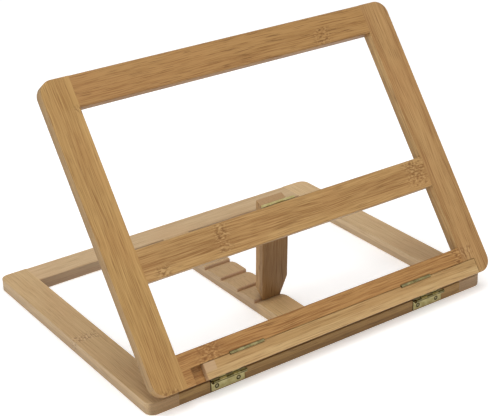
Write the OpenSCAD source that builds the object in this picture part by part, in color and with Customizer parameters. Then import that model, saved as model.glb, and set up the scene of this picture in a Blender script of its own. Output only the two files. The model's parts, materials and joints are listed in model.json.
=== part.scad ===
// Folding bamboo stand for a photo album: flat base frame, tilting frame with a
// flip-up ledge, and a prop leg that drops into a notched rack.
// Millimetres. X runs along the hinges, Y towards the back, Z up. The origin is the
// centre of the base's underside. The tilting frame is drawn leaning on its leg.

/* [Base] */
// width of the base and of the tilting frame
stand_w = 320; // [300:1:340]
// depth of the base
base_d = 244; // [220:1:260]
// board thickness of the base
base_t = 10; // [8:0.5:14]
// width of the base rails
rail_w = 25; // [20:0.5:32]
// radius of the base's outer corners
base_corner_r = 7.5; // [4:0.5:20]

/* [Rack] */
// width of the notched rack
rack_w = 26; // [20:0.5:32]
// sideways position of the rack
rack_x = -1.3; // [-5:0.1:5]
// number of notches
notches = 5; // [3:1:6]
// distance between notches
notch_pitch = 24.3; // [18:0.1:28]
// distance of the first notch wall from the front face
notch_first = 78.6; // [70:0.1:90]
// depth of a notch
notch_h = 3; // [2:0.1:4]
// length of the rounded ramp in front of each wall
ramp_l = 12; // [8:0.5:16]

/* [Tilting frame] */
// height of the tilting frame along its stiles
frame_h = 240; // [220:1:260]
// board thickness of the tilting frame
frame_t = 10; // [8:0.5:14]
// width of the stiles
stile_w = 25.5; // [20:0.5:32]
// lower edge of the middle rail
mid_lo = 79.5; // [70:0.5:90]
// upper edge of the middle rail
mid_hi = 105; // [95:0.5:115]
// lean of the frame, measured up from the base
tilt = 53.8; // [50:0.1:60]
// radius of the frame's outer corners
frame_corner_r = 11; // [5:0.5:20]
// sideways offset of the tilting frame from the middle of the base
frame_x = 2; // [-3:0.1:3]

/* [Ledge] */
// left end of the ledge groove
groove_l = -127.5; // [-132:0.5:-120]
// right end of the ledge groove
groove_r = 146.5; // [136:0.5:150]
// finger gap at the left end of the ledge
finger_gap = 10.5; // [6:0.5:12]
// height of the groove
groove_h = 12.7; // [10:0.1:14]
// depth of the groove
groove_d = 5; // [4:0.1:6]

/* [Leg] */
// width of the leg
leg_w = 24.5; // [20:0.5:28]
// thickness of the leg
leg_t = 10; // [8:0.5:12]
// sideways position of the leg's wood on the frame
leg_x = -3.4; // [-6:0.1:4]
// skew of the leg's wood on its hinge, foot towards +X
leg_skew = 3.4; // [0:0.1:4]
// rise of the foot's slanted underside from its front tip to its back
foot_bevel = 8.5; // [5:0.5:12]
// rise of the slanted top end from front to back
top_bevel = 2.5; // [0:0.5:4]
// height of the cut-off corner of the foot
foot_l = 16; // [8:0.5:20]
// width of the cut-off corner of the foot
foot_in = 6.5; // [3:0.5:9]

/* [Hinges] */
// length of every hinge
hinge_l = 30; // [25:1:35]
// half the distance between the two front hinges
front_hinge_x = 96.5; // [80:0.5:110]
// middle between the two front hinges, from the middle of the base
front_hinge_mid = 3.3; // [-4:0.1:4]
// position of the left ledge hinge
ledge_hinge_l = -78.7; // [-95:0.1:-60]
// position of the right ledge hinge
ledge_hinge_r = 83.2; // [60:0.1:100]
// position of the leg hinge on the frame
leg_hinge_x = -2; // [-4:0.1:4]
// height of the leg hinge's axis on the frame
leg_axis_v = 107; // [106:0.1:109]

/* [Hidden] */
$fn = 48;
eps = 0.01;
y0 = -base_d / 2;
gap = 0.4;              // between the boards when the stand lies folded
axis_in = 2.768;        // front hinge axis in front of the base's face
axis_y = y0 - axis_in;
axis_z = base_t + gap / 2;
knuckle_r = 1.5;
pin_r = 0.75;
leaf_t = 0.9;
small_knuckle_r = 1;
small_pin_r = 0.45;
small_leaf_t = 0.8;
small_head_r = 1.3;
run = 0.05;             // radial running clearance of a moving knuckle on its pin
side_gap = 0.15;        // between neighbouring knuckles
pocket = 0.3;           // clearance round a hinge at its ends
screw_r = 0.9;
screw_head_r = 1.75;
dowel_r = 2.5;
dowel_l = 24;
front_screw_x = 9.5;
leg_screw_x = 8.5;
base_screw_z = 6;
base_leaf_h = 9.3;      // from the axis down to the leaf's lower edge
frame_leaf_h = 4.8;
leg_leaf_h = 9.5;
leg_axis_w = -0.6;
strip_gap = 0.2;        // behind and above the ledge strip
strip_t = groove_d - strip_gap;
strip_h = groove_h - 0.4;
strip_l = groove_l + finger_gap;
strip_r = groove_r - 0.4;
ledge_axis_v = groove_h - 0.2;
ledge_axis_w = frame_t + 0.1;
ledge_leaf_w = 4.6;
ledge_screw_z = ledge_axis_w - frame_t + 2.9;

// leg: the foot's front tip stands in the first notch, its slant over the wall
ramp_r = (ramp_l * ramp_l + notch_h * notch_h) / (2 * notch_h);
tip_in = 3;             // tip in front of the notch wall
leg_axis_y = axis_y + (axis_in + leg_axis_v) * cos(tilt) - (gap / 2 + leg_axis_w) * sin(tilt);
leg_axis_z = axis_z + (axis_in + leg_axis_v) * sin(tilt) + (gap / 2 + leg_axis_w) * cos(tilt);
foot_y = y0 + notch_first - tip_in;
foot_z = base_t - ramp_r + sqrt(ramp_r * ramp_r - (ramp_l - tip_in) * (ramp_l - tip_in)) + 0.35;
leg_face = 0.6;         // leg's front face behind its hinge axis
leg_back = leg_face + leg_t;
foot_dy = foot_y - leg_axis_y;
foot_dz = leg_axis_z - foot_z;
leg_reach = sqrt(foot_dy * foot_dy + foot_dz * foot_dz - leg_face * leg_face);
leg_lean = atan2(foot_dy, foot_dz) - atan2(leg_face, leg_reach);
leg_top = 2;            // leg's front top edge below the hinge axis

window_x = stand_w / 2 - stile_w;
base_in_x = stand_w / 2 - rail_w;

bamboo = [0.74, 0.57, 0.36];
bamboo_pale = [0.80, 0.66, 0.45];
brass = [0.73, 0.67, 0.42];
steel = [0.66, 0.62, 0.45];
birch = [0.85, 0.74, 0.55];

// ---------- placing ----------

// frame coordinates: x along the hinges, y up the stiles, z out of the front face
module tilted() {
  translate([frame_x, axis_y, axis_z]) rotate([tilt, 0, 0])
    translate([0, axis_in, gap / 2]) children();
}

// leg coordinates: hinge axis at the origin, leg hanging along -Z, thickness along +Y
module leaning() {
  translate([frame_x, leg_axis_y, leg_axis_z]) rotate([leg_lean, 0, 0]) children();
}

// middle of a front hinge in the base's coordinates
function hinge_x(s) = front_hinge_mid + s * front_hinge_x;

module along_x(x, y, z, r, l) {
  translate([x, y, z]) rotate([0, 90, 0]) cylinder(r = r, h = l);
}

// ---------- shared pieces ----------

// flat outline with rounded outer corners on chosen sides
module quarter_off(x, y, r, sx, sy) {
  translate([x, y]) difference() {
    translate([sx > 0 ? -r : -eps, sy > 0 ? -r : -eps]) square([r + eps, r + eps]);
    translate([-sx * r, -sy * r]) circle(r = r);
  }
}

// knuckles number "from" in steps of two, out of n along the hinge
module knuckles(r, bore, n, from, l = hinge_l) {
  k = l / n;
  for (i = [from : 2 : n - 1])
    difference() {
      along_x(-l / 2 + i * k + (i > 0 ? side_gap / 2 : 0), 0, 0, r,
              k - (i > 0 ? side_gap / 2 : 0) - (i < n - 1 ? side_gap / 2 : 0));
      along_x(-l / 2 - 1, 0, 0, bore, l + 2);
    }
}

// spaces that the other leaf's knuckles need in this leaf's plate
module knuckle_spaces(r, n, from, l = hinge_l) {
  k = l / n;
  for (i = [from : 2 : n - 1])
    translate([-l / 2 + i * k - side_gap / 2 - (i == 0 ? 1 : 0), -r - 0.25, -r - 0.25])
      cube([k + side_gap + (i == 0 ? 1 : 0) + (i == n - 1 ? 1 : 0), 2 * r + 0.5, 2 * r + 0.5]);
}

// arms from the knuckles back to a plate that lies further behind than the barrel
module arms(y, t, n, from, l = hinge_l) {
  k = l / n;
  for (i = [from : 2 : n - 1])
    translate([-l / 2 + i * k + (i > 0 ? side_gap / 2 : 0), 1, -t])
      cube([k - (i > 0 ? side_gap / 2 : 0) - (i < n - 1 ? side_gap / 2 : 0),
            y - 1 + t / 2, t]);
}

// one leaf: plate along -Z behind the axis, screw holes through it along Y
module leaf(r, bore, n, from, t, y, h, screw_x, screw_z, head) {
  difference() {
    union() {
      difference() {
        translate([-hinge_l / 2, y, -h]) cube([hinge_l, t, h]);
        knuckle_spaces(r, n, 1 - from);
        along_x(-hinge_l / 2 - 1, 0, 0, bore, hinge_l + 2);
      }
      knuckles(r, bore, n, from);
      if (y > r) arms(y, t, n, from);
    }
    for (x = [-screw_x, screw_x])
      translate([x, y, -screw_z]) rotate([-90, 0, 0]) screw_solid(t, head, 3);
  }
}

// countersunk screw: head at z = 0, shank along +Z
module screw_solid(t, head, l) {
  cylinder(r1 = head, r2 = screw_r, h = t);
  translate([0, 0, t - eps]) cylinder(r = screw_r, h = l - t + eps);
}

module screw(t, head, l) {
  difference() {
    screw_solid(t, head, l);
    translate([-head * 0.62, -0.2, -eps]) cube([head * 1.24, 0.4, 0.45]);
    translate([-0.2, -head * 0.62, -eps]) cube([0.4, head * 1.24, 0.45]);
  }
}

module base_screws() {
  for (s = [-1, 1], x = [-front_screw_x, front_screw_x])
    translate([hinge_x(s) + x, y0, axis_z - base_screw_z]) rotate([-90, 0, 0])
      children();
}

module edge_screws() {
  for (s = [-1, 1], x = [-front_screw_x, front_screw_x])
    translate([hinge_x(s) - frame_x + x, 0, 2.5]) rotate([-90, 0, 0]) children();
}

module ledge_places() {
  for (c = [ledge_hinge_l, ledge_hinge_r], x = [-front_screw_x, front_screw_x])
    translate([c + x, 0, frame_t - 2.9]) children();
}

// ---------- base ----------

module base_side(s) {
  x1 = s > 0 ? base_in_x : -stand_w / 2;
  difference() {
    linear_extrude(base_t) difference() {
      translate([x1, y0]) square([rail_w, base_d]);
      quarter_off(s * stand_w / 2, y0, base_corner_r, s, -1);
      quarter_off(s * stand_w / 2, -y0, base_corner_r, s, 1);
    }
    base_dowel_holes(0.2);
  }
}

module base_left_rail() {
  color(bamboo) base_side(-1);
}

module base_right_rail() {
  color(bamboo) base_side(1);
}

module base_back_rail() {
  color(bamboo) difference() {
    translate([-base_in_x, -y0 - rail_w, 0]) cube([2 * base_in_x, rail_w, base_t]);
    base_dowel_holes(0.2);
  }
}

module base_front_rail() {
  color(bamboo) difference() {
    translate([-base_in_x, y0, 0]) cube([2 * base_in_x, rail_w, base_t]);
    for (s = [-1, 1])
      translate([hinge_x(s) - hinge_l / 2 - pocket, y0 - 1, axis_z - base_leaf_h - 0.1])
        cube([hinge_l + 2 * pocket, 1 + leaf_t, base_t]);
    base_screws() screw_solid(leaf_t, screw_head_r, 9);
    base_dowel_holes(0.2);
  }
}

// one notch: flat wall at y = 0, rounded ramp rising towards -Y
module notch_cut() {
  translate([rack_x - rack_w / 2 - 1, 0, 0]) rotate([90, 0, 90])
    linear_extrude(rack_w + 2) difference() {
      translate([-ramp_l, base_t - notch_h]) square([ramp_l, notch_h + 1]);
      translate([-ramp_l, base_t - ramp_r]) circle(r = ramp_r, $fn = 96);
    }
}

module notched_rack() {
  color(bamboo) difference() {
    translate([rack_x - rack_w / 2, y0 + rail_w, 0])
      cube([rack_w, base_d - 2 * rail_w, base_t]);
    for (i = [0 : notches - 1])
      translate([0, y0 + notch_first + i * notch_pitch, 0]) notch_cut();
    base_dowel_holes(0.2);
  }
}

// dowels of the base: two at each rail end, two at each rack end
module base_dowel_holes(slack) {
  for (s = [-1, 1], y = [y0 + 7.5, y0 + 18, -y0 - 7.5, -y0 - 18])
    along_x(s * base_in_x - dowel_l / 2 - slack, y, base_t / 2, dowel_r,
            dowel_l + 2 * slack);
  for (s = [-1, 1], x = [-6.5, 6.5])
    translate([rack_x + x, s * (-y0 - rail_w) - dowel_l / 2 - slack, base_t / 2])
      rotate([-90, 0, 0]) cylinder(r = dowel_r, h = dowel_l + 2 * slack);
}

module base_dowels() {
  color(birch) base_dowel_holes(0);
}

module base_leaf(s) {
  translate([hinge_x(s), axis_y, axis_z])
    leaf(knuckle_r, pin_r, 5, 0, leaf_t, axis_in, base_leaf_h, front_screw_x, base_screw_z,
         screw_head_r);
}

module front_hinge_left_base_leaf() {
  color(brass) base_leaf(-1);
}

module front_hinge_right_base_leaf() {
  color(brass) base_leaf(1);
}

module front_pin(s) {
  along_x(hinge_x(s) - hinge_l / 2, axis_y, axis_z, pin_r, hinge_l);
}

module front_hinge_left_pin() {
  color(steel) front_pin(-1);
}

module front_hinge_right_pin() {
  color(steel) front_pin(1);
}

module base_hinge_screws() {
  color(steel) base_screws() screw(leaf_t, screw_head_r, 9);
}

// ---------- tilting frame ----------

module frame_dowel_holes(slack) {
  for (s = [-1, 1], v = [18.9, mid_lo + 7.3, mid_hi - 7.3, frame_h - 17.8, frame_h - 7.2])
    along_x(s * window_x - dowel_l / 2 - slack, v, frame_t / 2, dowel_r,
            dowel_l + 2 * slack);
}

module stile(s) {
  x1 = s > 0 ? window_x : -stand_w / 2;
  difference() {
    linear_extrude(frame_t) difference() {
      translate([x1, 0]) square([stile_w, frame_h]);
      quarter_off(s * stand_w / 2, 0, frame_corner_r, s, -1);
      quarter_off(s * stand_w / 2, frame_h, frame_corner_r, s, 1);
    }
    frame_dowel_holes(0.2);
  }
}

module groove() {
  translate([groove_l, -1, frame_t - groove_d])
    cube([groove_r - groove_l, 1 + groove_h, groove_d + 1]);
}

module frame_left_stile() {
  color(bamboo) tilted() stile(-1);
}

module frame_right_stile() {
  color(bamboo) tilted() difference() {
    stile(1);
    groove();
  }
}

module frame_rail(v1, v2) {
  difference() {
    translate([-window_x, v1, 0]) cube([2 * window_x, v2 - v1, frame_t]);
    frame_dowel_holes(0.2);
  }
}

module frame_top_rail() {
  color(bamboo) tilted() frame_rail(frame_h - 25, frame_h);
}

module frame_middle_rail() {
  color(bamboo) tilted() difference() {
    frame_rail(mid_lo, mid_hi);
    translate([leg_hinge_x - hinge_l / 2 - pocket, leg_axis_v - leg_leaf_h - 0.1, -1])
      cube([hinge_l + 2 * pocket, leg_leaf_h, 1 + leaf_t]);
    leg_frame_screws() screw_solid(leaf_t, screw_head_r, 7);
  }
}

module frame_bottom_rail() {
  color(bamboo) tilted() difference() {
    frame_rail(0, 25);
    groove();
    for (s = [-1, 1])
      translate([hinge_x(s) - frame_x - hinge_l / 2 - pocket, -1, -1])
        cube([hinge_l + 2 * pocket, 1 + leaf_t, 1 + groove_d + 1]);
    edge_screws() screw_solid(leaf_t, 1.7, 8);
    for (c = [ledge_hinge_l, ledge_hinge_r])
      translate([c - hinge_l / 2 - pocket, ledge_axis_v, 0]) {
        translate([0, 0, frame_t - groove_d])
          cube([hinge_l + 2 * pocket, 0.2 + small_leaf_t, groove_d + 1]);
        translate([0, 0, ledge_axis_w - small_knuckle_r - pocket])
          cube([hinge_l + 2 * pocket, small_knuckle_r + pocket, groove_d]);
      }
    ledge_places() translate([0, groove_h, 0]) rotate([-90, 0, 0])
      screw_solid(small_leaf_t, small_head_r, 8);
  }
}

module frame_dowels() {
  color(birch) tilted() frame_dowel_holes(0);
}

module frame_leaf(s) {
  // axis at (-axis_in, -gap/2) in frame coordinates, plate running up the edge face
  translate([hinge_x(s) - frame_x, -axis_in, -gap / 2]) mirror([0, 0, 1])
    leaf(knuckle_r, pin_r + run, 5, 1, leaf_t, axis_in, frame_leaf_h, front_screw_x,
         gap / 2 + 2.5, 1.7);
}

module front_hinge_left_frame_leaf() {
  color(brass) tilted() frame_leaf(-1);
}

module front_hinge_right_frame_leaf() {
  color(brass) tilted() frame_leaf(1);
}

module frame_hinge_screws() {
  color(steel) tilted() edge_screws() screw(leaf_t, 1.7, 8);
}

// ledge hinge leaf whose plate lies in the rail above the axis
module ledge_rail_leaf(c) {
  translate([c, ledge_axis_v, ledge_axis_w])
    leaf(small_knuckle_r, small_pin_r, 5, 0, small_leaf_t, 0.2, ledge_leaf_w,
         front_screw_x, ledge_screw_z, small_head_r);
}

module ledge_hinge_left_rail_leaf() {
  color(brass) tilted() ledge_rail_leaf(ledge_hinge_l);
}

module ledge_hinge_right_rail_leaf() {
  color(brass) tilted() ledge_rail_leaf(ledge_hinge_r);
}

module ledge_pin(c) {
  along_x(c - hinge_l / 2, ledge_axis_v, ledge_axis_w, small_pin_r, hinge_l);
}

module ledge_hinge_left_pin() {
  color(steel) tilted() ledge_pin(ledge_hinge_l);
}

module ledge_hinge_right_pin() {
  color(steel) tilted() ledge_pin(ledge_hinge_r);
}

module ledge_rail_screws() {
  color(steel) tilted() ledge_places() translate([0, groove_h, 0])
    rotate([-90, 0, 0]) screw(small_leaf_t, small_head_r, 8);
}

module leg_frame_screws() {
  for (x = [-leg_screw_x, leg_screw_x])
    translate([leg_hinge_x + x, leg_axis_v - 5.6, 0]) children();
}

module leg_hinge_frame_leaf() {
  // plate let into the back face of the middle rail
  color(brass) tilted() translate([leg_hinge_x, leg_axis_v, leg_axis_w])
    mirror([0, 1, 0]) rotate([90, 0, 0])
      leaf(knuckle_r, pin_r, 3, 0, leaf_t, -leg_axis_w, leg_leaf_h, leg_screw_x, 5.6,
           screw_head_r);
}

module leg_hinge_pin() {
  color(steel) tilted()
    along_x(leg_hinge_x - hinge_l / 2, leg_axis_v, leg_axis_w, pin_r, hinge_l);
}

module leg_hinge_frame_screws() {
  color(steel) tilted() leg_frame_screws() screw(leaf_t, screw_head_r, 7);
}

// ---------- ledge ----------

module ledge_strip() {
  color(bamboo_pale) tilted() difference() {
    translate([strip_l, 0, frame_t - strip_t])
      cube([strip_r - strip_l, strip_h, strip_t]);
    for (c = [ledge_hinge_l, ledge_hinge_r])
      translate([c - hinge_l / 2 - pocket, 0, 0]) {
        translate([0, strip_h - small_leaf_t, 0])
          cube([hinge_l + 2 * pocket, small_leaf_t + 1, frame_t + 1]);
        translate([0, ledge_axis_v - small_knuckle_r - pocket,
                   ledge_axis_w - small_knuckle_r - pocket])
          cube([hinge_l + 2 * pocket, small_knuckle_r + pocket, 4]);
      }
    ledge_places() translate([0, strip_h, 0]) rotate([90, 0, 0])
      screw_solid(small_leaf_t, small_head_r, 8);
  }
}

module ledge_strip_leaf(c) {
  translate([c, ledge_axis_v, ledge_axis_w]) mirror([0, 1, 0])
    leaf(small_knuckle_r, small_pin_r + run, 5, 1, small_leaf_t, 0.2, ledge_leaf_w,
         front_screw_x, ledge_screw_z, small_head_r);
}

module ledge_hinge_left_strip_leaf() {
  color(brass) tilted() ledge_strip_leaf(ledge_hinge_l);
}

module ledge_hinge_right_strip_leaf() {
  color(brass) tilted() ledge_strip_leaf(ledge_hinge_r);
}

module ledge_strip_screws() {
  color(steel) tilted() ledge_places() translate([0, strip_h, 0])
    rotate([90, 0, 0]) screw(small_leaf_t, small_head_r, 8);
}

// ---------- leg ----------

// front view of the leg, askew on its hinge, one lower corner cut off
module leg_outline() {
  a = leg_w / 2;
  rotate(leg_skew)
    polygon([[-a, 9], [a, 9], [a, foot_l - leg_reach], [a - foot_in - 1, -leg_reach - 2],
             [-a, -leg_reach - 2]]);
}

// side view of the leg, both ends slanting up towards the back
module leg_profile() {
  polygon([[leg_face, -leg_reach], [leg_back, foot_bevel - leg_reach],
           [leg_back, top_bevel - leg_top], [leg_face, -leg_top]]);
}

module leg_screws() {
  for (x = [-leg_screw_x, leg_screw_x])
    translate([leg_hinge_x + x, leg_face, -5.6]) rotate([-90, 0, 0]) children();
}

module prop_leg() {
  color(bamboo) leaning() difference() {
    intersection() {
      translate([leg_x, leg_back + 1, 0]) rotate([90, 0, 0])
        linear_extrude(leg_t + 2) leg_outline();
      translate([leg_x - leg_w, 0, 0]) rotate([90, 0, 90])
        linear_extrude(2 * leg_w) leg_profile();
    }
    translate([leg_hinge_x - hinge_l / 2 - pocket, leg_face - 1, -leg_leaf_h - 0.1])
      cube([hinge_l + 2 * pocket, 1 + leaf_t, leg_leaf_h + 0.1]);
    leg_screws() screw_solid(leaf_t, screw_head_r, 7);
  }
}

module leg_hinge_leg_leaf() {
  color(brass) leaning() translate([leg_hinge_x, 0, 0])
    leaf(knuckle_r, pin_r + run, 3, 1, leaf_t, leg_face, leg_leaf_h, leg_screw_x, 5.6,
         screw_head_r);
}

module leg_hinge_leg_screws() {
  color(steel) leaning() leg_screws() screw(leaf_t, screw_head_r, 7);
}

base_left_rail();
base_right_rail();
base_back_rail();
base_front_rail();
notched_rack();
base_dowels();
front_hinge_left_base_leaf();
front_hinge_right_base_leaf();
front_hinge_left_pin();
front_hinge_right_pin();
base_hinge_screws();
frame_left_stile();
frame_right_stile();
frame_top_rail();
frame_middle_rail();
frame_bottom_rail();
frame_dowels();
front_hinge_left_frame_leaf();
front_hinge_right_frame_leaf();
frame_hinge_screws();
ledge_hinge_left_rail_leaf();
ledge_hinge_right_rail_leaf();
ledge_hinge_left_pin();
ledge_hinge_right_pin();
ledge_rail_screws();
leg_hinge_frame_leaf();
leg_hinge_pin();
leg_hinge_frame_screws();
ledge_strip();
ledge_hinge_left_strip_leaf();
ledge_hinge_right_strip_leaf();
ledge_strip_screws();
prop_leg();
leg_hinge_leg_leaf();
leg_hinge_leg_screws();
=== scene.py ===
import json
import math

import bmesh
import bpy
from mathutils import Matrix, Vector

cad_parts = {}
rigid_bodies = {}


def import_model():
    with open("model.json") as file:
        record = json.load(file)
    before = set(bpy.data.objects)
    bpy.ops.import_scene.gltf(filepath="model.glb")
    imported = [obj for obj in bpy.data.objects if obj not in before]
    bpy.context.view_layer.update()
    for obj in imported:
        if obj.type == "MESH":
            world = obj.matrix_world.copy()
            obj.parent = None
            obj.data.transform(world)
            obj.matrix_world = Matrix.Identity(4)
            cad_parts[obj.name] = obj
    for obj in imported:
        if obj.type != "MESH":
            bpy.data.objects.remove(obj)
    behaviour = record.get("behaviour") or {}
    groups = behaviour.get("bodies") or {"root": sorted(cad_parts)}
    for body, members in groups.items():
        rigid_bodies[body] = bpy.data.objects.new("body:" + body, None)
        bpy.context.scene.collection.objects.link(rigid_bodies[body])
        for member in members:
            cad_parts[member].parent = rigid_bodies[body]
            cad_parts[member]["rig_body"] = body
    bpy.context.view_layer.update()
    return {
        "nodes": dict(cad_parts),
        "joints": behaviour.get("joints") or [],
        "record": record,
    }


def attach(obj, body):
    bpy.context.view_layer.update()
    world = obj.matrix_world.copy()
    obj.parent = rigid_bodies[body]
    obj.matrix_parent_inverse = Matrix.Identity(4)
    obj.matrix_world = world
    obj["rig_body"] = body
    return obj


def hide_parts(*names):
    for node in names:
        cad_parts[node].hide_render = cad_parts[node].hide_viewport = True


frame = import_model()
record = frame["record"]
joints = {j["name"]: j for j in frame["joints"]}
mounts = {m["name"]: m for m in record["mounts"]}
MM = 1000.0            # millimetres in a metre
IMAGE = (490, 416)     # width and height that the camera's centre is given in


# ---------- local coordinates of the three kinds of board ----------

ALBUM_V, ALBUM_W = 0.092, 0.010    # where the album_face mount lies on the frame, metres
LEG_FACE = 0.0006                  # leg's front face behind its hinge axis, metres


def tilt_matrix():
    """Frame coordinates in millimetres: x, v up the stiles, w out of the front face."""
    face = mounts["album_face"]
    w = Vector(face["axis"]).normalized()
    x = Vector((1, 0, 0))
    v = w.cross(x)
    origin = Vector(face["pos_m"]) - v * ALBUM_V - w * ALBUM_W
    m = Matrix((x, v, w)).transposed().to_4x4()
    m.translation = origin
    return m @ Matrix.Scale(1 / MM, 4)


def leg_matrix():
    """Leg coordinates in millimetres: hinge axis at the origin, leg hanging along -z."""
    axis = Vector(joints["leg_swing"]["pos_m"])
    tip = min((v.co for v in frame["nodes"]["prop_leg"].data.vertices), key=lambda c: c.z)
    dy, dz = tip.y - axis.y, axis.z - tip.z
    lean = math.atan2(dy, dz) - math.asin(LEG_FACE / math.hypot(dy, dz))
    m = Matrix.Rotation(lean, 4, "X")
    m.translation = Vector((0, axis.y, axis.z))
    return m @ Matrix.Scale(1 / MM, 4)


FLAT = Matrix.Scale(1 / MM, 4)
TILT = tilt_matrix()
LEG = leg_matrix()


def span(node, m):
    """Lowest and highest corner of a node in local millimetres."""
    inv = m.inverted()
    co = [inv @ v.co for v in frame["nodes"][node].data.vertices]
    return (Vector(min(c[i] for c in co) for i in range(3)),
            Vector(max(c[i] for c in co) for i in range(3)))


# ---------- small node-tree helper ----------

class Tree:
    def __init__(self, name):
        self.mat = bpy.data.materials.new(name)
        self.mat.use_nodes = True
        self.t = self.mat.node_tree
        self.t.nodes.clear()
        self.out = self.t.nodes.new("ShaderNodeOutputMaterial")
        self.bsdf = self.t.nodes.new("ShaderNodeBsdfPrincipled")
        self.link(self.bsdf.outputs[0], self.out.inputs["Surface"])

    def link(self, a, b):
        self.t.links.new(a, b)

    def put(self, socket, value):
        if isinstance(value, bpy.types.NodeSocket):
            self.link(value, socket)
        else:
            socket.default_value = value

    def node(self, kind, **props):
        n = self.t.nodes.new(kind)
        for k, v in props.items():
            setattr(n, k, v)
        return n

    def math(self, op, a, b=0.0):
        n = self.node("ShaderNodeMath", operation=op)
        for s, v in zip(n.inputs, (a, b)):
            self.put(s, v)
        return n.outputs[0]

    def mul(self, a, b):
        return self.math("MULTIPLY", a, b)

    def add(self, a, b):
        return self.math("ADD", a, b)

    def sub(self, a, b):
        return self.math("SUBTRACT", a, b)

    def length(self, a, b):
        """Length of the vector (a, b)."""
        return self.math("SQRT", self.add(self.mul(a, a), self.mul(b, b)))

    def split(self, vector):
        n = self.node("ShaderNodeSeparateXYZ")
        self.link(vector, n.inputs[0])
        return n.outputs

    def stretch(self, vector, scale):
        n = self.node("ShaderNodeMapping")
        self.link(vector, n.inputs["Vector"])
        n.inputs["Scale"].default_value = scale
        return n.outputs[0]

    def bump(self, height, strength, distance):
        n = self.node("ShaderNodeBump")
        n.inputs["Strength"].default_value = strength
        n.inputs["Distance"].default_value = distance
        self.put(n.inputs["Height"], height)
        self.link(n.outputs[0], self.bsdf.inputs["Normal"])

    def vec(self, x, y, z):
        n = self.node("ShaderNodeCombineXYZ")
        for s, v in zip(n.inputs, (x, y, z)):
            self.put(s, v)
        return n.outputs[0]

    def noise(self, vector, scale=1.0, detail=3.0, rough=0.55):
        n = self.node("ShaderNodeTexNoise")
        self.put(n.inputs["Vector"], vector)
        n.inputs["Scale"].default_value = scale
        n.inputs["Detail"].default_value = detail
        n.inputs["Roughness"].default_value = rough
        return n.outputs["Fac"]

    def ramp(self, fac, stops):
        n = self.node("ShaderNodeValToRGB")
        el = n.color_ramp.elements
        while len(el) < len(stops):
            el.new(0.5)
        for e, (p, c) in zip(el, stops):
            e.position = p
            e.color = (*c, 1)
        self.put(n.inputs[0], fac)
        return n.outputs[0]

    def smooth(self, x, lo, hi):
        """0 below lo, 1 above hi, or the other way round."""
        n = self.node("ShaderNodeMapRange", interpolation_type="SMOOTHSTEP")
        self.put(n.inputs["Value"], x)
        n.inputs["From Min"].default_value = min(lo, hi)
        n.inputs["From Max"].default_value = max(lo, hi)
        n.inputs["To Min"].default_value = 0.0 if lo < hi else 1.0
        n.inputs["To Max"].default_value = 1.0 if lo < hi else 0.0
        return n.outputs["Result"]

    def mix(self, fac, a, b, blend="MIX"):
        n = self.node("ShaderNodeMix", data_type="RGBA", blend_type=blend)
        self.put(n.inputs[0], fac)
        for s, v in ((n.inputs[6], a), (n.inputs[7], b)):
            self.put(s, v if isinstance(v, bpy.types.NodeSocket) else (*v, 1))
        return n.outputs[2]


def srgb(r, g, b):
    def lin(c):
        c /= 255.0
        return c / 12.92 if c <= 0.04045 else ((c + 0.055) / 1.055) ** 2.4
    return (lin(r), lin(g), lin(b))


# ---------- bamboo ----------

LIGHT = srgb(214, 172, 112)
MIDDLE = srgb(196, 153, 95)
DEEP = srgb(166, 120, 68)
DARK_FIBRE = srgb(128, 88, 46)
PALE_FIBRE = srgb(222, 186, 130)
GLUE_LINE = srgb(120, 82, 44)
KNUCKLE_DARK = srgb(118, 74, 34)
KNUCKLE_PALE = srgb(218, 180, 124)
PALE_BLOCK = srgb(204, 166, 124)
SHADED = srgb(104, 72, 40)
END_PALE = srgb(192, 151, 104)
END_DARK = srgb(140, 100, 60)
WARM_PATCH = srgb(206, 150, 92)
LOWER_LAYER = srgb(122, 88, 56)
LAYER = 5.0       # thickness of one laminated layer, mm
FAR = 400.0       # keeps the strip and layer counts positive, mm


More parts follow.
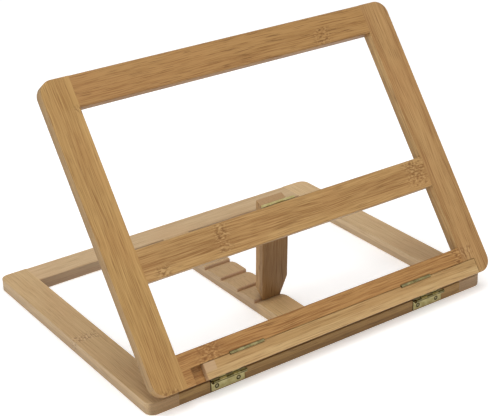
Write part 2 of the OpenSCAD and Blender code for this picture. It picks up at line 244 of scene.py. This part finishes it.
def bamboo(name, seed, tone=(1.0, 1.0, 1.0), marks=(), strip=12.6, contrast=1.0, offset=0.0,
           pale_end=None, ends=(1.0, 1.0, 1.0), inner=None, split=None, fade=None,
           sides=(0.90, 0.94, 1.0)):
    """Laminated bamboo: long fibres, strips and two layers with their own tone, knuckle
    marks at (along, half length, across from, across to), darker dotted end grain.
    Lengths are millimetres in the board's grain coordinates. tone, ends and sides multiply
    the whole board, its end grain and its narrow faces; sides is painted shade on the narrow faces
    by default and painted light where it is above one. strip and offset place the glue lines.
    split = (across, tone) tones the part beyond a glue line, and pale_end is how far a pale block
    reaches along it. inner darkens the narrow face at that place across with painted shade.
    fade = (from, to, tone) changes the tone along the board, as painted light towards one part."""
    t = Tree(name)
    at = t.node("ShaderNodeAttribute", attribute_name="grain")
    s, a, d = t.split(at.outputs["Vector"])
    end = t.node("ShaderNodeAttribute", attribute_name="endgrain").outputs["Fac"]
    so = t.add(s, seed * 173.0)
    # the fibres wander slightly
    wander = t.noise(t.vec(t.mul(so, 0.011), t.mul(a, 0.03), t.mul(d, 0.03)), 1.0, 2.0)
    aw = t.add(a, t.mul(t.sub(wander, 0.5), 5.0))
    dw = t.add(d, seed * 31.0)
    # strips across the board and layers through it
    strips = t.math("DIVIDE", t.add(a, offset + FAR), strip)
    row = t.math("FLOOR", strips)
    layer = t.math("FLOOR", t.math("DIVIDE", t.add(d, FAR), LAYER))
    white = t.node("ShaderNodeTexWhiteNoise", noise_dimensions="3D")
    t.link(t.vec(row, layer, float(seed)), white.inputs["Vector"])
    piece = white.outputs["Value"]
    shift = t.mul(piece, 37.0)

    def streak(along, across, more=0.0, rough=0.6):
        v = t.vec(t.mul(t.add(so, shift), along), t.mul(t.add(aw, shift), across),
                  t.mul(t.add(dw, more), across))
        return t.noise(v, 1.0, 2.0, rough)

    broad = streak(0.007, 0.18, 0.0, 0.55)
    medium = streak(0.018, 1.05, 11.0)
    fine = streak(0.036, 1.9, 23.0)
    dashes = streak(0.055, 1.7, 41.0, 0.5)
    mixv = t.add(t.add(t.mul(broad, 0.14), t.mul(medium, 0.36)), t.mul(fine, 0.50))
    mixv = t.add(t.mul(t.sub(mixv, 0.5), 2.3 * contrast), 0.5)
    mixv = t.add(mixv, t.mul(t.sub(piece, 0.5), 0.22 * contrast))
    col = t.ramp(mixv, [(0.12, DEEP), (0.45, MIDDLE), (0.85, LIGHT)])
    col = t.mix(t.mul(t.smooth(dashes, 0.57, 0.70), 0.42 * contrast), col, DARK_FIBRE)
    col = t.mix(t.mul(t.smooth(dashes, 0.40, 0.28), 0.25 * contrast), col, PALE_FIBRE)
    # thin glue lines between strips
    off_centre = t.math("ABSOLUTE", t.sub(t.math("FRACT", strips), 0.5))
    col = t.mix(t.mul(t.smooth(off_centre, 0.488, 0.5), 0.25), col, GLUE_LINE)
    bump_h = t.add(t.mul(fine, 0.6), t.mul(dashes, 0.5))
    if marks:
        jitter = t.noise(t.vec(t.mul(so, 0.05), t.mul(a, 0.16), float(seed)), 1.0, 1.0)
        sj = t.add(s, t.mul(t.sub(jitter, 0.5), 9.0))
        wave = t.noise(t.vec(t.mul(so, 0.34), t.mul(aw, 0.66), dw), 1.0, 2.0, 0.55)
        dark = t.mul(t.smooth(wave, 0.48, 0.62), 0.62)
        pale = t.mul(t.smooth(wave, 0.46, 0.37), 0.75)
    for pos, half, lo, hi in marks:
        m = t.smooth(t.math("ABSOLUTE", t.sub(sj, pos)), half, half * 0.25)
        m = t.mul(m, t.smooth(a, lo - 1.5, lo + 1.0))
        m = t.mul(m, t.smooth(a, hi + 1.5, hi - 1.0))
        col = t.mix(t.mul(m, dark), col, KNUCKLE_DARK)
        col = t.mix(t.mul(m, pale), col, KNUCKLE_PALE)
        bump_h = t.sub(bump_h, t.mul(m, t.mul(wave, 1.5)))
    if split:
        col = t.mix(t.smooth(a, split[0] - 0.5, split[0] + 0.5), col,
                    t.mix(1.0, col, split[1], "MULTIPLY"))
    if pale_end is not None:
        m = t.mul(t.smooth(s, pale_end + 0.3, pale_end - 0.3),
                  t.smooth(a, split[0] - 0.6, split[0] - 0.2))
        col = t.mix(t.mul(m, 0.62), col, PALE_BLOCK)
    # painted shade on the narrow face at inner
    if inner is not None:
        col = t.mix(t.mul(t.smooth(a, inner + 0.3, inner + 0.05), 0.55), col, SHADED)
    # end grain: darker, with fibre-bundle dots
    dots = t.node("ShaderNodeTexVoronoi")
    t.link(t.vec(t.mul(a, 1.15), t.mul(d, 1.5), float(seed)), dots.inputs["Vector"])
    dots.inputs["Scale"].default_value = 1.0
    dot = t.smooth(dots.outputs["Distance"], 0.40, 0.18)
    endcol = t.mix(t.mul(dot, 0.5), END_PALE, END_DARK)
    endcol = t.mix(1.0, endcol, ends, "MULTIPLY")
    on_end = t.smooth(end, 0.45, 0.85)
    col = t.mix(on_end, col, endcol)
    # the lacquer's tone varies in broad patches
    patch = t.noise(t.vec(t.mul(so, 0.012), t.mul(a, 0.02), dw), 1.0, 2.0)
    col = t.mix(t.mul(t.smooth(patch, 0.42, 0.68), 0.20), col, WARM_PATCH)
    side = t.node("ShaderNodeAttribute", attribute_name="sideface").outputs["Fac"]
    under = t.mul(side, t.smooth(d, LAYER + 0.4, LAYER - 0.4))
    # narrow faces take the sides multiplier: painted shade by default, painted light where it is
    # above one
    col = t.mix(t.mul(side, 0.9), col, t.mix(1.0, col, sides, "MULTIPLY"))
    col = t.mix(t.mul(under, 0.30), col, LOWER_LAYER)
    # fade: painted light along part of the board
    if fade:
        col = t.mix(t.smooth(s, fade[0], fade[1]), col, t.mix(1.0, col, fade[2], "MULTIPLY"))
    col = t.mix(1.0, col, tone, "MULTIPLY")
    t.put(t.bsdf.inputs["Base Color"], col)
    rough = t.add(t.add(0.44, t.mul(fine, 0.16)), t.mul(on_end, 0.2))
    t.put(t.bsdf.inputs["Roughness"], rough)
    t.bsdf.inputs["Specular IOR Level"].default_value = 0.35
    t.bump(bump_h, 0.35, 0.00025)
    return t.mat


# ---------- boards ----------

def near(a, b, tol=0.03):
    return abs(a - b) < tol


SHARP_CAD = math.radians(30)      # edges that can be rounded over
SHARP_SHADE = math.radians(38)    # edges that stay crisp in the shading


def board(node, m, along, across, radius, rounded, material, cuts=(), segments=3,
          first=None):
    """A sanded board from the CAD solid: flat faces made whole, then the edges that
    rounded(mid, p, q) picks are rounded over. Carries its grain coordinates in mm.
    cuts = (axis, value) planes split long edges first, and first = (rule, radius) is a
    rounding done before the general one."""
    bm = bmesh.new()
    bm.from_mesh(frame["nodes"][node].data)
    bm.transform(m.inverted())
    bmesh.ops.remove_doubles(bm, verts=bm.verts, dist=0.004)
    bmesh.ops.dissolve_degenerate(bm, edges=bm.edges, dist=0.003)
    bmesh.ops.dissolve_limit(bm, angle_limit=math.radians(0.6), verts=bm.verts, edges=bm.edges)
    for axis, value in cuts:
        no = Vector((0, 0, 0))
        no[axis] = 1
        geom = list(bm.verts) + list(bm.edges) + list(bm.faces)
        bmesh.ops.bisect_plane(bm, geom=geom, dist=0.002, plane_co=no * value, plane_no=no)
    for rule, r in ([first] if first else []) + [(rounded, radius)]:
        picked = []
        for e in bm.edges:
            if len(e.link_faces) != 2 or e.calc_face_angle_signed(0) < SHARP_CAD:
                continue
            p, q = (v.co for v in e.verts)
            if rule((p + q) / 2, p, q):
                picked.append(e)
        if picked:
            bmesh.ops.bevel(bm, geom=picked, offset=r, offset_type="OFFSET", segments=segments,
                            profile=0.5, affect="EDGES", clamp_overlap=True)
    bmesh.ops.remove_doubles(bm, verts=bm.verts, dist=0.002)
    depth = ({0, 1, 2} - {along, across}).pop()
    bm.normal_update()
    grain = bm.verts.layers.float_vector.new("grain")
    for v in bm.verts:
        v[grain] = Vector((v.co[along], v.co[across], v.co[depth]))
    endl = bm.faces.layers.float.new("endgrain")
    sidel = bm.faces.layers.float.new("sideface")
    for f in bm.faces:
        f.smooth = True
        f[endl] = abs(f.normal[along])
        f[sidel] = abs(f.normal[across])
    for e in bm.edges:
        if len(e.link_faces) == 2 and e.calc_face_angle(0) > SHARP_SHADE:
            e.smooth = False
    bm.transform(m)
    me = bpy.data.meshes.new(node + "_sanded")
    bm.to_mesh(me)
    bm.free()
    ob = bpy.data.objects.new(node + "_sanded", me)
    bpy.context.scene.collection.objects.link(ob)
    me.materials.append(material)
    wn = ob.modifiers.new("flat", "WEIGHTED_NORMAL")
    wn.keep_sharp = True
    wn.weight = 80
    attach(ob, frame["nodes"][node]["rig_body"])
    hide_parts(node)
    return ob


lo, hi = span("base_front_rail", FLAT)
IN_X, FRONT_Y, RAIL_IN = hi.x, lo.y, hi.y
BACK_IN = span("base_back_rail", FLAT)[0].y
RACK = span("notched_rack", FLAT)
TOP_Z = hi.z


def side_edges(mid, p, q):
    if near(abs(mid.x), IN_X) and not RAIL_IN < mid.y < BACK_IN:
        return False
    return True


def cross_edges(mid, p, q):
    if near(abs(p.x), IN_X) and near(abs(q.x), IN_X) and near(p.x, q.x):
        return False
    if not near(p.y, q.y) or not near(p.z, q.z):
        return False
    if not (near(mid.z, 0) or near(mid.z, TOP_Z)):
        return False
    if near(mid.y, RAIL_IN) or near(mid.y, BACK_IN):
        return not RACK[0].x - 0.01 < mid.x < RACK[1].x + 0.01
    return near(mid.y, FRONT_Y) or near(mid.y, -FRONT_Y)


ROUND = 1.2           # rounding of a sanded edge, mm
base_cuts = [(1, RAIL_IN), (1, BACK_IN)]
board("base_left_rail", FLAT, 1, 0, ROUND, side_edges,
      bamboo("bamboo_base_left", 1, (1.040, 1.203, 1.651), [(-10, 8, -160, -140)],
             offset=3, contrast=0.75, ends=(0.59, 0.55, 0.43)),
      cuts=base_cuts)
board("base_right_rail", FLAT, 1, 0, ROUND, side_edges,
      bamboo("bamboo_base_right", 2, (1.214, 1.461, 2.162), [(60, 7, 136, 150)],
             offset=3, contrast=0.7, ends=(0.52, 0.49, 0.41)),
      cuts=base_cuts)
rack_cuts = [(0, RACK[0].x), (0, RACK[1].x)]
# tone darkens the whole front rail as painted shade of its front face under the frame; fade
# lightens its right end with painted light
board("base_front_rail", FLAT, 0, 1, 0.6, cross_edges,
      bamboo("bamboo_base_front", 3, (0.536, 0.497, 0.365), contrast=1.5,
             fade=(60, 118, (1.20, 1.22, 1.28))),
      cuts=rack_cuts)
# its inner face is darkened with painted shade
board("base_back_rail", FLAT, 0, 1, ROUND, cross_edges,
      bamboo("bamboo_base_back", 4, (1.079, 1.297, 1.986), contrast=0.7, inner=BACK_IN),
      cuts=rack_cuts)


def rack_edges(mid, p, q):
    return not (near(p.y, q.y) and near(abs(p.y), -RAIL_IN))


def wall_tops(mid, p, q):
    return near(p.y, q.y) and near(mid.z, TOP_Z) and not near(abs(mid.y), -RAIL_IN)


# fade lightens the rack's near part with painted light where the leg's shadow falls
board("notched_rack", FLAT, 1, 0, 0.4, rack_edges,
      bamboo("bamboo_rack", 5, (0.960, 1.098, 1.556), contrast=0.7,
             fade=(-42, -56, (1.30, 1.32, 1.24))),
      first=(wall_tops, 1.3))

lo, hi = span("frame_top_rail", TILT)
WIN_X, H, T = hi.x, hi.y, hi.z
TOP_IN = lo.y
mid_lo, mid_hi = span("frame_middle_rail", TILT)
BOT_IN = span("frame_bottom_rail", TILT)[1].y
STRIP = span("ledge_strip", TILT)


LEDGE_TOP = 13        # the ledge's groove ends in the right stile below this height, mm


def stile_edges(mid, p, q):
    if not (near(p.z, q.z) and (near(mid.z, 0) or near(mid.z, T))) and not near(mid.z, T / 2, 5.2):
        return False
    if near(abs(mid.x), WIN_X):
        if mid.y < BOT_IN or mid.y > TOP_IN or mid_lo.y < mid.y < mid_hi.y:
            return False
        return True
    if mid.x > 0 and mid.y < LEDGE_TOP and mid.z > 4 and mid.x < STRIP[1].x + 0.8:
        return False
    return True


def rail_edges(mid, p, q):
    if not (near(p.y, q.y) and near(p.z, q.z)):
        return False
    if not (near(mid.z, 0) or near(mid.z, T)):
        return False
    return any(near(mid.y, v) for v in (0, BOT_IN, mid_lo.y, mid_hi.y, TOP_IN, H))


stile_cuts = [(1, BOT_IN), (1, mid_lo.y), (1, mid_hi.y), (1, TOP_IN)]
board("frame_left_stile", TILT, 1, 0, ROUND, stile_edges,
      bamboo("bamboo_left_stile", 6, (0.798, 0.794, 0.725),
             [(1, 5, -158, -140), (214, 4, -139, -134)], offset=4, contrast=1.25),
      cuts=stile_cuts)
# the right stile's narrow faces are lightened with painted light
board("frame_right_stile", TILT, 1, 0, ROUND, stile_edges,
      bamboo("bamboo_right_stile", 7, (0.761, 0.740, 0.750), [(20, 7, 136, 147)],
             offset=2, contrast=1.3, sides=(1.25, 1.39, 1.42)),
      cuts=stile_cuts)
board("frame_top_rail", TILT, 0, 1, ROUND, rail_edges,
      bamboo("bamboo_top_rail", 8, (0.652, 0.584, 0.503), [(88, 11, 216, 229)],
             offset=1, contrast=1.9))
board("frame_middle_rail", TILT, 0, 1, ROUND, rail_edges,
      bamboo("bamboo_middle_rail", 9, (0.773, 0.755, 0.732),
             [(-65, 9, 83, 104), (-119, 9, 80, 87), (124, 15, 83, 104)],
             offset=5, contrast=1.5))
board("frame_bottom_rail", TILT, 0, 1, ROUND, rail_edges,
      bamboo("bamboo_bottom_rail", 10, (0.748, 0.660, 0.572),
             [(-110, 15, 9, 25), (131, 8, 13, 24)], contrast=1.75))


def strip_edges(mid, p, q):
    return (near(p.z, T) and near(q.z, T)
            and (near(mid.y, 0) or near(mid.x, STRIP[0].x) or near(mid.x, STRIP[1].x)))


STRIP_GLUE = 5.8       # glue line along the ledge strip, mm from its front edge
STRIP_BLOCK = 9.5      # length of the pale block at its left end, mm
board("ledge_strip", TILT, 0, 1, 0.5, strip_edges,
      bamboo("bamboo_ledge", 11, (0.921, 1.011, 1.183), contrast=1.1,
             pale_end=STRIP[0].x + STRIP_BLOCK, split=(STRIP_GLUE, (0.83, 0.77, 0.68))),
      segments=2)


def leg_edges(mid, p, q):
    # all but the sides of the hinge recess
    return mid.z < -9.7 or mid.y > 1.7


# tone darkens the whole leg as painted shade of its front face under the frame; ends and sides
# lift its end grain and narrow faces back with painted light
board("prop_leg", LEG, 2, 0, 0.8, leg_edges,
      bamboo("bamboo_leg", 12, (0.538, 0.531, 0.562), offset=6, contrast=1.6,
             ends=(1.5, 1.62, 1.70), sides=(1.42, 1.40, 1.28)))


# ---------- dowels ----------

def dowel_wood():
    t = Tree("birch_dowel")
    tc = t.node("ShaderNodeTexCoord").outputs["Object"]
    n = t.noise(t.stretch(tc, (60, 1500, 1500)))
    col = t.ramp(n, [(0.3, srgb(196, 168, 122)), (0.7, srgb(226, 202, 160))])
    t.put(t.bsdf.inputs["Base Color"], col)
    t.bsdf.inputs["Roughness"].default_value = 0.7
    return t.mat


# ---------- brass ----------

# painted shade colours for the brass recesses and barrels, and a painted highlight colour for the
# screw heads
RECESS_SHADE = srgb(50, 42, 22)
BARREL_GAP_SHADE = srgb(52, 44, 24)
BARREL_SHADE_BAND = srgb(70, 62, 34)
SCREW_HIGHLIGHT = srgb(206, 198, 160)
TARNISH = srgb(124, 110, 66)


def brass(name, bright=1.0, rough=0.30, lines=(), centres=(), edges=()):
    """Thin brass plating: fine scratches, cloudy tarnish, and painted shade that darkens the
    recesses.
    lines = (axis, near, far, upper, lower): painted shade round a barrel between the two radii in
    mm, and two dark lines of the given strengths along its front, painted shade and dark
    reflection. centres are screws on a face square to Y, with painted shade round their seats and
    a painted highlight on their heads, and edges are places along X with painted shade at the
    plate's recess edge, all in metres."""
    t = Tree(name)
    tc = t.node("ShaderNodeTexCoord").outputs["Object"]
    cloud = t.noise(tc, 260.0, 4.0, 0.6)
    speck = t.noise(tc, 1900.0, 2.0, 0.6)
    scratch = t.noise(t.stretch(tc, (300, 9000, 9000)), 1.0, 2.0)
    x, y, z = t.split(tc)
    light = srgb(212 * bright, 200 * bright, 146 * bright)
    dull = srgb(184 * bright, 171 * bright, 112 * bright)
    col = t.mix(t.smooth(cloud, 0.35, 0.68), light, dull)
    for c in centres:
        # painted shade round each screw's seat, painted highlight on the middle of its head
        far = t.length(t.sub(x, c.x), t.sub(z, c.z))
        seat_shade = t.mul(t.smooth(far, 0.8 / MM, 1.2 / MM), t.smooth(far, 2.1 / MM, 1.8 / MM))
        col = t.mix(t.mul(seat_shade, 0.88), col, RECESS_SHADE)
        col = t.mix(t.mul(t.smooth(far, 1.0 / MM, 0.7 / MM), 0.8), col, SCREW_HIGHLIGHT)
    for place in edges:
        # painted shade along the plate's recess edge
        dx = t.math("ABSOLUTE", t.sub(x, place))
        col = t.mix(t.mul(t.smooth(dx, 0.9 / MM, 0.5 / MM), 0.9), col, RECESS_SHADE)
    col = t.mix(t.mul(t.smooth(speck, 0.62, 0.75), 0.22), col, TARNISH)
    for axis, near_mm, far_mm, upper, lower in lines:
        dy, dz = t.sub(y, axis.y), t.sub(z, axis.z)
        far = t.length(dy, dz)
        # painted shade in the gap round the barrel
        ring = t.mul(t.smooth(far, near_mm / MM, (near_mm + 0.12) / MM),
                     t.smooth(far, (far_mm + 0.3) / MM, far_mm / MM))
        col = t.mix(t.mul(ring, 0.85), col, BARREL_GAP_SHADE)
        tube = t.smooth(far, near_mm / MM, (near_mm - 0.02) / MM)
        # two dark bands along the barrel's front: painted shade and dark reflection
        height = t.add(t.mul(dz, 0.86), t.mul(dy, 0.51))
        for at, depth in ((0.36, upper), (-0.44, lower)):
            off = t.math("ABSOLUTE", t.sub(height, at * near_mm / MM))
            band = t.smooth(off, near_mm * 0.34 / MM, near_mm * 0.18 / MM)
            col = t.mix(t.mul(tube, t.mul(band, depth)), col, BARREL_SHADE_BAND)
    t.put(t.bsdf.inputs["Base Color"], col)
    t.bsdf.inputs["Metallic"].default_value = 1.0
    r = t.add(t.add(rough, t.mul(cloud, 0.18)), t.mul(scratch, 0.10))
    t.put(t.bsdf.inputs["Roughness"], r)
    t.bump(t.add(scratch, speck), 0.3, 0.00005)
    return t.mat


FRONT_AXIS = Vector(joints["frame_tilt"]["pos_m"])
LEG_AXIS = Vector(joints["leg_swing"]["pos_m"])
# painted shade round each hinge barrel, and dark bands along its front
BARREL_SHADE = [(FRONT_AXIS, 1.54, 2.1, 0.85, 0.8), (LEG_AXIS, 1.54, 2.0, 0.15, 0.55)]
BARREL_SHADE_MOVING = [(FRONT_AXIS, 1.54, 2.1, 0.1, 0.8)]
SCREW_SPACING = 0.002     # screws of a group lie further apart than this along X, metres


def screw_centres(node):
    """Middle of each screw of a group, from the loose clusters of its vertices along X."""
    co = sorted((v.co.copy() for v in frame["nodes"][node].data.vertices), key=lambda c: c.x)
    groups = [[co[0]]]
    for c in co[1:]:
        if c.x - groups[-1][-1].x > SCREW_SPACING:
            groups.append([])
        groups[-1].append(c)
    return [(Vector(min(c[i] for c in g) for i in range(3))
             + Vector(max(c[i] for c in g) for i in range(3))) / 2 for g in groups]


SEATS = screw_centres("base_hinge_screws")
# left edges of the base leaves, where painted shade marks the recess
PLATE_EDGES = [span("front_hinge_%s_base_leaf" % side, FLAT)[0].x / MM
               for side in ("left", "right")]
# the bright factor gives lighter and darker copies of one brass: painted light and shade for how
# each hinge part catches the light
BRASS = brass("brass_leaf", 1.08, 0.36, BARREL_SHADE)
BRASS_FRONT = brass("brass_front_leaf", 0.84, 0.30, BARREL_SHADE, SEATS, PLATE_EDGES)
SCREW_FRONT = brass("brass_front_screw", 0.62, 0.34, (), SEATS)
BRASS_SMALL = brass("brass_ledge_leaf", 0.76, 0.36)
BRASS_STRIP = brass("brass_strip_leaf", 0.86, 0.40)
BRASS_MOVING = brass("brass_moving_leaf", 0.96, 0.34, BARREL_SHADE_MOVING)
PIN = brass("brass_pin", 0.80, 0.24)
SCREW = brass("brass_screw", 0.50, 0.30)
DOWEL = dowel_wood()


def metal(name):
    """Material of a CAD node that is shown as it is, from its name."""
    if "dowels" in name:
        return DOWEL
    if "screws" in name:
        return SCREW_FRONT if name == "base_hinge_screws" else SCREW
    if name.endswith("_pin"):
        return PIN
    if name.endswith("base_leaf"):
        return BRASS_FRONT
    if name.endswith("strip_leaf"):
        return BRASS_STRIP
    if name.startswith("ledge"):
        return BRASS_SMALL
    if name.startswith("front") and name.endswith("frame_leaf"):
        return BRASS_MOVING
    return BRASS


for name, ob in frame["nodes"].items():
    if ob.hide_render:
        continue
    ob.data.materials.clear()
    ob.data.materials.append(metal(name))


# ---------- stage ----------

def stage_floor():
    bm = bmesh.new()
    bmesh.ops.create_grid(bm, x_segments=8, y_segments=8, size=6.0)
    me = bpy.data.meshes.new("studio_floor")
    bm.to_mesh(me)
    bm.free()
    ob = bpy.data.objects.new("studio_floor", me)
    ob.location.z = -0.0002
    bpy.context.scene.collection.objects.link(ob)
    t = Tree("pale_floor")
    tc = t.node("ShaderNodeTexCoord").outputs["Object"]
    n = t.noise(tc, 3.0, 3.0)
    pale = t.ramp(n, [(0.3, (0.91, 0.91, 0.91)), (0.7, (0.93, 0.93, 0.93))])
    t.put(t.bsdf.inputs["Base Color"], pale)
    t.bsdf.inputs["Roughness"].default_value = 0.8
    t.bsdf.inputs["Specular IOR Level"].default_value = 0.1
    t.bsdf.inputs["Emission Color"].default_value = (1, 1, 1, 1)
    t.bsdf.inputs["Emission Strength"].default_value = 0.36
    me.materials.append(t.mat)


stage_floor()


AIM = Vector((0, 0, 0.08))


def area(name, pos, size, power):
    d = bpy.data.lights.new(name, "AREA")
    d.shape = "DISK"
    d.size = size
    d.energy = power
    o = bpy.data.objects.new(name, d)
    o.location = pos
    o.rotation_euler = (AIM - Vector(pos)).to_track_quat("-Z", "Y").to_euler()
    bpy.context.scene.collection.objects.link(o)


area("overhead", (-0.1, -0.3, 2.4), 1.9, 31)
area("left", (-1.9, -0.3, 1.4), 1.6, 9)
area("front", (0.2, -2.0, 1.8), 2.0, 7)

world = bpy.data.worlds.new("studio")
bpy.context.scene.world = world
world.use_nodes = True
sky = world.node_tree.nodes["Background"]
sky.inputs["Color"].default_value = (1, 1, 1, 1)
sky.inputs["Strength"].default_value = 0.34
bpy.context.scene.view_settings.view_transform = "Standard"

# ---------- camera ----------

AZ, EL, ROLL = math.radians(-34.129), math.radians(26.132), math.radians(-1.983)
FOCAL, CX, CY = 1303.258, 251.322, 233.006     # in units of the image's width in IMAGE
DIST = 1.047187
TARGET = Vector((-0.000333, -0.022, 0.057596))
SENSOR = 36.0
look = Vector((-math.sin(AZ) * math.cos(EL), math.cos(AZ) * math.cos(EL), -math.sin(EL)))
right = look.cross(Vector((0, 0, 1))).normalized()
up = right.cross(look)
r2 = right * math.cos(ROLL) + up * math.sin(ROLL)
u2 = up * math.cos(ROLL) - right * math.sin(ROLL)
cam_data = bpy.data.cameras.new("camera")
cam_data.sensor_width = SENSOR
cam_data.lens = FOCAL / IMAGE[0] * SENSOR
cam_data.shift_x = (IMAGE[0] / 2 - CX) / IMAGE[0]
cam_data.shift_y = (CY - IMAGE[1] / 2) / IMAGE[0]
cam_data.clip_end = 50
cam = bpy.data.objects.new("camera", cam_data)
turn = Matrix((r2, u2, -look)).transposed().to_4x4()
cam.matrix_world = Matrix.Translation(TARGET - look * DIST) @ turn
bpy.context.scene.collection.objects.link(cam)
bpy.context.scene.camera = cam
